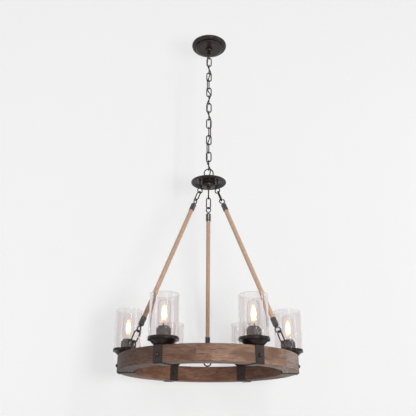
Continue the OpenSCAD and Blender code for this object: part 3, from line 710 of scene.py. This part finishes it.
def make_bulb(i):
    c = light_centre(i)
    z0 = BULB_NECK_Z
    outer = [(12.6, z0 - 0.6), (12.9, z0 + 1.0)] + arc(BULB_R - 7, z0 + 13, 7, -70, 0, 8)
    outer += [(BULB_R, z0 + 13 + t * (BULB_TOP_Z - BULB_R - z0 - 13) / 6) for t in range(1, 7)]
    outer += arc(0, BULB_TOP_Z - BULB_R, BULB_R, 6, 89, 14)
    inner = [(max(AXIS_R, r - BULB_WALL), z if z < BULB_TOP_Z - BULB_R else z - BULB_WALL)
             for r, z in reversed(outer)]
    dress(lathe_object(f"bulb_envelope_{i}", outer + inner, 64, c), "bulb_glass", i)

    # Screw cap with its thread, and the insulator and contact below it
    rows, sides = 60, 48
    verts, uvs = [], []
    low, high = BULB_SEAT_Z + 4.2, z0 - 0.5
    for j in range(rows + 1):
        z = low + (high - low) * j / rows
        fade = min(1.0, j / 8, (rows - j) / 8)
        for k in range(sides):
            a = TAU * k / sides
            wave = math.sin(TAU * ((z - low) / THREAD_PITCH - k / sides))
            r = CAP_R + THREAD_DEPTH * wave * fade
            verts.append((c[0] + r * math.cos(a) / 1000, c[1] + r * math.sin(a) / 1000, z / 1000))
            uvs.append((k / sides, z / 1000))
    foot = lathe([(CAP_R, low), (10.6, BULB_SEAT_Z + 2.6), (10.0, BULB_SEAT_Z + 2.4)], sides, c, False)
    cap = merge([(verts, ring_faces(rows, sides), uvs), foot])
    dress(add_mesh(f"bulb_cap_{i}", *cap), "bulb_cap", i)
    tip = [(10.2, BULB_SEAT_Z + 2.6), (8.6, BULB_SEAT_Z + 1.2), (5.2, BULB_SEAT_Z + 0.5),
           (4.4, BULB_SEAT_Z + 0.4), (AXIS_R, BULB_SEAT_Z + 0.4)]
    dress(lathe_object(f"bulb_insulator_{i}", tip, 40, c, False), "bulb_insulator", i)
    contact = [(4.2, BULB_SEAT_Z + 0.4), (3.4, BULB_SEAT_Z + 0.1), (1.6, BULB_SEAT_Z),
               (AXIS_R, BULB_SEAT_Z)]
    dress(lathe_object(f"bulb_contact_{i}", contact, 32, c, False), "bulb_cap", i)

    # Glass stem that carries the filament
    stem = [(9.0, z0 + 0.5), (6.0, z0 + 3.5), (3.6, z0 + 7), (2.9, z0 + 12), (2.7, z0 + 20),
            (2.0, z0 + 22), (1.0, z0 + 26), (1.0, z0 + 62), (1.6, z0 + 63.5), (AXIS_R, z0 + 64.5)]
    dress(lathe_object(f"bulb_stem_{i}", stem, 28, c, False), "stem_glass", i)
    base = Vector((c[0], c[1], 0))

    def at(a, r, z):
        return base + Vector((r * math.cos(a) / 1000, r * math.sin(a) / 1000, z / 1000))

    # Long filament strung up and down between two rings of hooks, and its leads
    hot, cool, wires = [], [], []
    count = 8
    for k in range(count):
        a = TAU * k / count + 0.3 * i
        b = TAU * (k + 1) / count + 0.3 * i
        low_z, high_z = z0 + 20.5, z0 + 62
        path = [at(a, 5.0 - 1.4 * t / 12, low_z + (high_z - low_z) * t / 12) for t in range(13)]
        hot.append(tube(path[3:9], 0.00045, 6))
        cool.append(tube(path[:4], 0.00032, 6))
        cool.append(tube(path[8:], 0.00032, 6))
        hook = at(a, 3.6, high_z)
        if k % 2 == 0:
            loop = [hook, at((a + b) / 2, 3.4, high_z + 0.8), at(b, 3.6, high_z)]
        else:
            loop = [at(a, 5.0, low_z), at((a + b) / 2, 4.8, low_z - 0.8), at(b, 5.0, low_z)]
        cool.append(tube(loop, 0.0004, 6))
        upper = [at(a, 3.5, high_z + 0.6), at(a, 2.4, high_z - 0.5), at(a, 0.9, high_z - 1.5)]
        lower = [at(a, 4.9, low_z - 0.6), at(a, 3.6, low_z - 1.2), at(a, 2.2, low_z - 1.0)]
        wires += [tube(upper, 0.00018, 5), tube(lower, 0.00018, 5)]
    for s in (-1, 1):
        lead = [at(0, r * s, z0 + z) for r, z in ((3.0, 2), (3.2, 9), (4.0, 16), (4.9, 20))]
        wires.append(tube(lead, 0.0003, 6))
    dress(add_mesh(f"filament_hot_{i}", *merge(hot)), "filament_hot", i)
    dress(add_mesh(f"filament_{i}", *merge(cool)), "filament", i)
    dress(add_mesh(f"bulb_wires_{i}", *merge(wires)), "bulb_cap", i)
    # Painted glow: an emitting shell round the filament that stands in for its glare
    glow_shell = [(AXIS_R, z0 + 8), (4.5, z0 + 10), (8.0, z0 + 16), (9.4, z0 + 26), (9.6, z0 + 40),
            (8.6, z0 + 54), (6.0, z0 + 64), (2.6, z0 + 70), (AXIS_R, z0 + 72)]
    dress(lathe_object(f"bulb_painted_glow_{i}", glow_shell, 40, c, False), "bulb_glow", i)


for i in range(1, 7):
    make_shade(i)
    make_bulb(i)


# ---- Stage and light ----

PAPER = srgb(242, 242, 242)
WALL_Y = 0.42
KEY, KEY_SIZE, KEY_RADIANCE = (0.48, -2.0, -1.5), 0.36, 48.0
STRIP, STRIP_W, STRIP_H, STRIP_RADIANCE = (0.66, -1.9, -0.75), 0.06, 1.7, 24.0
AROUND = 0.49
WORLD_UNSEEN, WORLD_SEEN = 0.42, 1.0
SIDE_STRIPS = [
    ("strip_right", (1.7, -0.72, -0.55), (0, 0, -0.7), 0.12, 1.5, 9.0),
    ("strip_left", (-1.7, -1.0, -0.8), (0, 0, -0.95), 0.14, 1.7, 5.0)]
FLOOR_Z, WALL_TOP_Z, WALL_HALF, FLOOR_HALF = -2.7, 3, 5, 6


def backdrop_material(name, keep, levelled):
    """Pale matt paper of one even colour, with the shadows on it kept in part."""
    n = Nodes(name)
    p = n.coord()
    fine = n.noise(p, 40, 3, 0.5)
    n.set(Base_Color=n.mix(n.remap(fine, 0.3, 0.7, 0, 1), PAPER, toned(PAPER, 0.995)),
          Roughness=1.0, Specular_IOR_Level=0.0)
    level = 1.0
    if levelled:
        # What the front lamps give each point, so that the paper's own light can make up the rest
        given = AROUND
        spots = [(KEY, KEY_RADIANCE * KEY_SIZE ** 2)]
        thirds = (-0.33, 0, 0.33)
        spots += [((STRIP[0], STRIP[1], STRIP[2] + up * STRIP_H),
                   STRIP_RADIANCE * STRIP_W * STRIP_H / len(thirds)) for up in thirds]
        for place, power in spots:
            way = n.add("VectorMath", operation="SUBTRACT")
            n.put(way.inputs[0], p)
            way.inputs[1].default_value = place
            far = n.add("VectorMath", operation="DOT_PRODUCT")
            n.put(far.inputs[0], way.outputs[0])
            n.put(far.inputs[1], way.outputs[0])
            lit = power * (WALL_Y - place[1]) ** 2 / math.pi
            given = n.math("ADD", n.math("DIVIDE", lit, n.math("POWER", far.outputs["Value"], 2.0)), given)
        level = n.math("DIVIDE", n.math("SUBTRACT", 1.0, n.math("MULTIPLY", given, keep)), 1 - keep)
    glow = n.add("Emission")
    glow.inputs[0].default_value = PAPER
    n.put(glow.inputs[1], level)
    path = n.add("LightPath")
    seen = n.math("MAXIMUM", path.outputs["Is Glossy Ray"], path.outputs["Is Transmission Ray"])
    seen = n.math("MAXIMUM", path.outputs["Is Camera Ray"], seen)
    both = n.add("MixShader")
    n.put(both.inputs[0], n.math("MULTIPLY", seen, 1 - keep))
    n.put(both.inputs[1], n.bsdf.outputs[0])
    n.put(both.inputs[2], glow.outputs[0])
    clear = n.add("BsdfTransparent")
    sides = n.add("MixShader")
    n.put(sides.inputs[0], n.add("NewGeometry").outputs["Backfacing"])
    n.put(sides.inputs[1], both.outputs[0])
    n.put(sides.inputs[2], clear.outputs[0])
    n.put(n.out.inputs[0], sides.outputs[0])
    return n.mat


wall = add_mesh("backdrop_wall", [
    (-WALL_HALF, WALL_Y, FLOOR_Z), (WALL_HALF, WALL_Y, FLOOR_Z),
    (WALL_HALF, WALL_Y, WALL_TOP_Z), (-WALL_HALF, WALL_Y, WALL_TOP_Z)], [(0, 1, 2, 3)], None, False)
floor = add_mesh("floor", [
    (-FLOOR_HALF, -FLOOR_HALF, FLOOR_Z), (FLOOR_HALF, -FLOOR_HALF, FLOOR_Z),
    (FLOOR_HALF, FLOOR_HALF, FLOOR_Z), (-FLOOR_HALF, FLOOR_HALF, FLOOR_Z)], [(0, 1, 2, 3)], None, False)
use(wall, backdrop_material("backdrop", 0.5, True))
use(floor, backdrop_material("floor_paper", 0.3, False))


def make_world():
    w = bpy.data.worlds.new("studio")
    w.use_nodes = True
    t = w.node_tree
    bg = t.nodes["Background"]
    path = t.nodes.new("ShaderNodeLightPath")
    most = t.nodes.new("ShaderNodeMath")
    most.operation = "MAXIMUM"
    t.links.new(path.outputs["Is Glossy Ray"], most.inputs[0])
    t.links.new(path.outputs["Is Transmission Ray"], most.inputs[1])
    seen = t.nodes.new("ShaderNodeMath")
    seen.operation = "MAXIMUM"
    t.links.new(path.outputs["Is Camera Ray"], seen.inputs[0])
    t.links.new(most.outputs[0], seen.inputs[1])
    level = t.nodes.new("ShaderNodeMapRange")
    t.links.new(seen.outputs[0], level.inputs[0])
    level.inputs[3].default_value = WORLD_UNSEEN
    level.inputs[4].default_value = WORLD_SEEN
    bg.inputs[0].default_value = PAPER
    t.links.new(level.outputs[0], bg.inputs[1])
    scene.world = w


make_world()


def aim(o, place, target):
    o.location = place
    o.rotation_mode = "QUATERNION"
    o.rotation_quaternion = (Vector(target) - Vector(place)).to_track_quat("-Z", "Y")


def area(name, place, target, w, h, radiance):
    d = bpy.data.lights.new(name, "AREA")
    d.shape = "RECTANGLE"
    d.size, d.size_y = w, h
    d.energy = radiance * math.pi * w * h
    o = bpy.data.objects.new(name, d)
    scene.collection.objects.link(o)
    aim(o, place, target)


area("key", KEY, (KEY[0], WALL_Y, KEY[2]), KEY_SIZE, KEY_SIZE, KEY_RADIANCE)
area("strip_front", STRIP, (0, 0, STRIP[2]), STRIP_W, STRIP_H, STRIP_RADIANCE)
for lamp in SIDE_STRIPS:
    area(*lamp)

scene.view_settings.view_transform = "Standard"
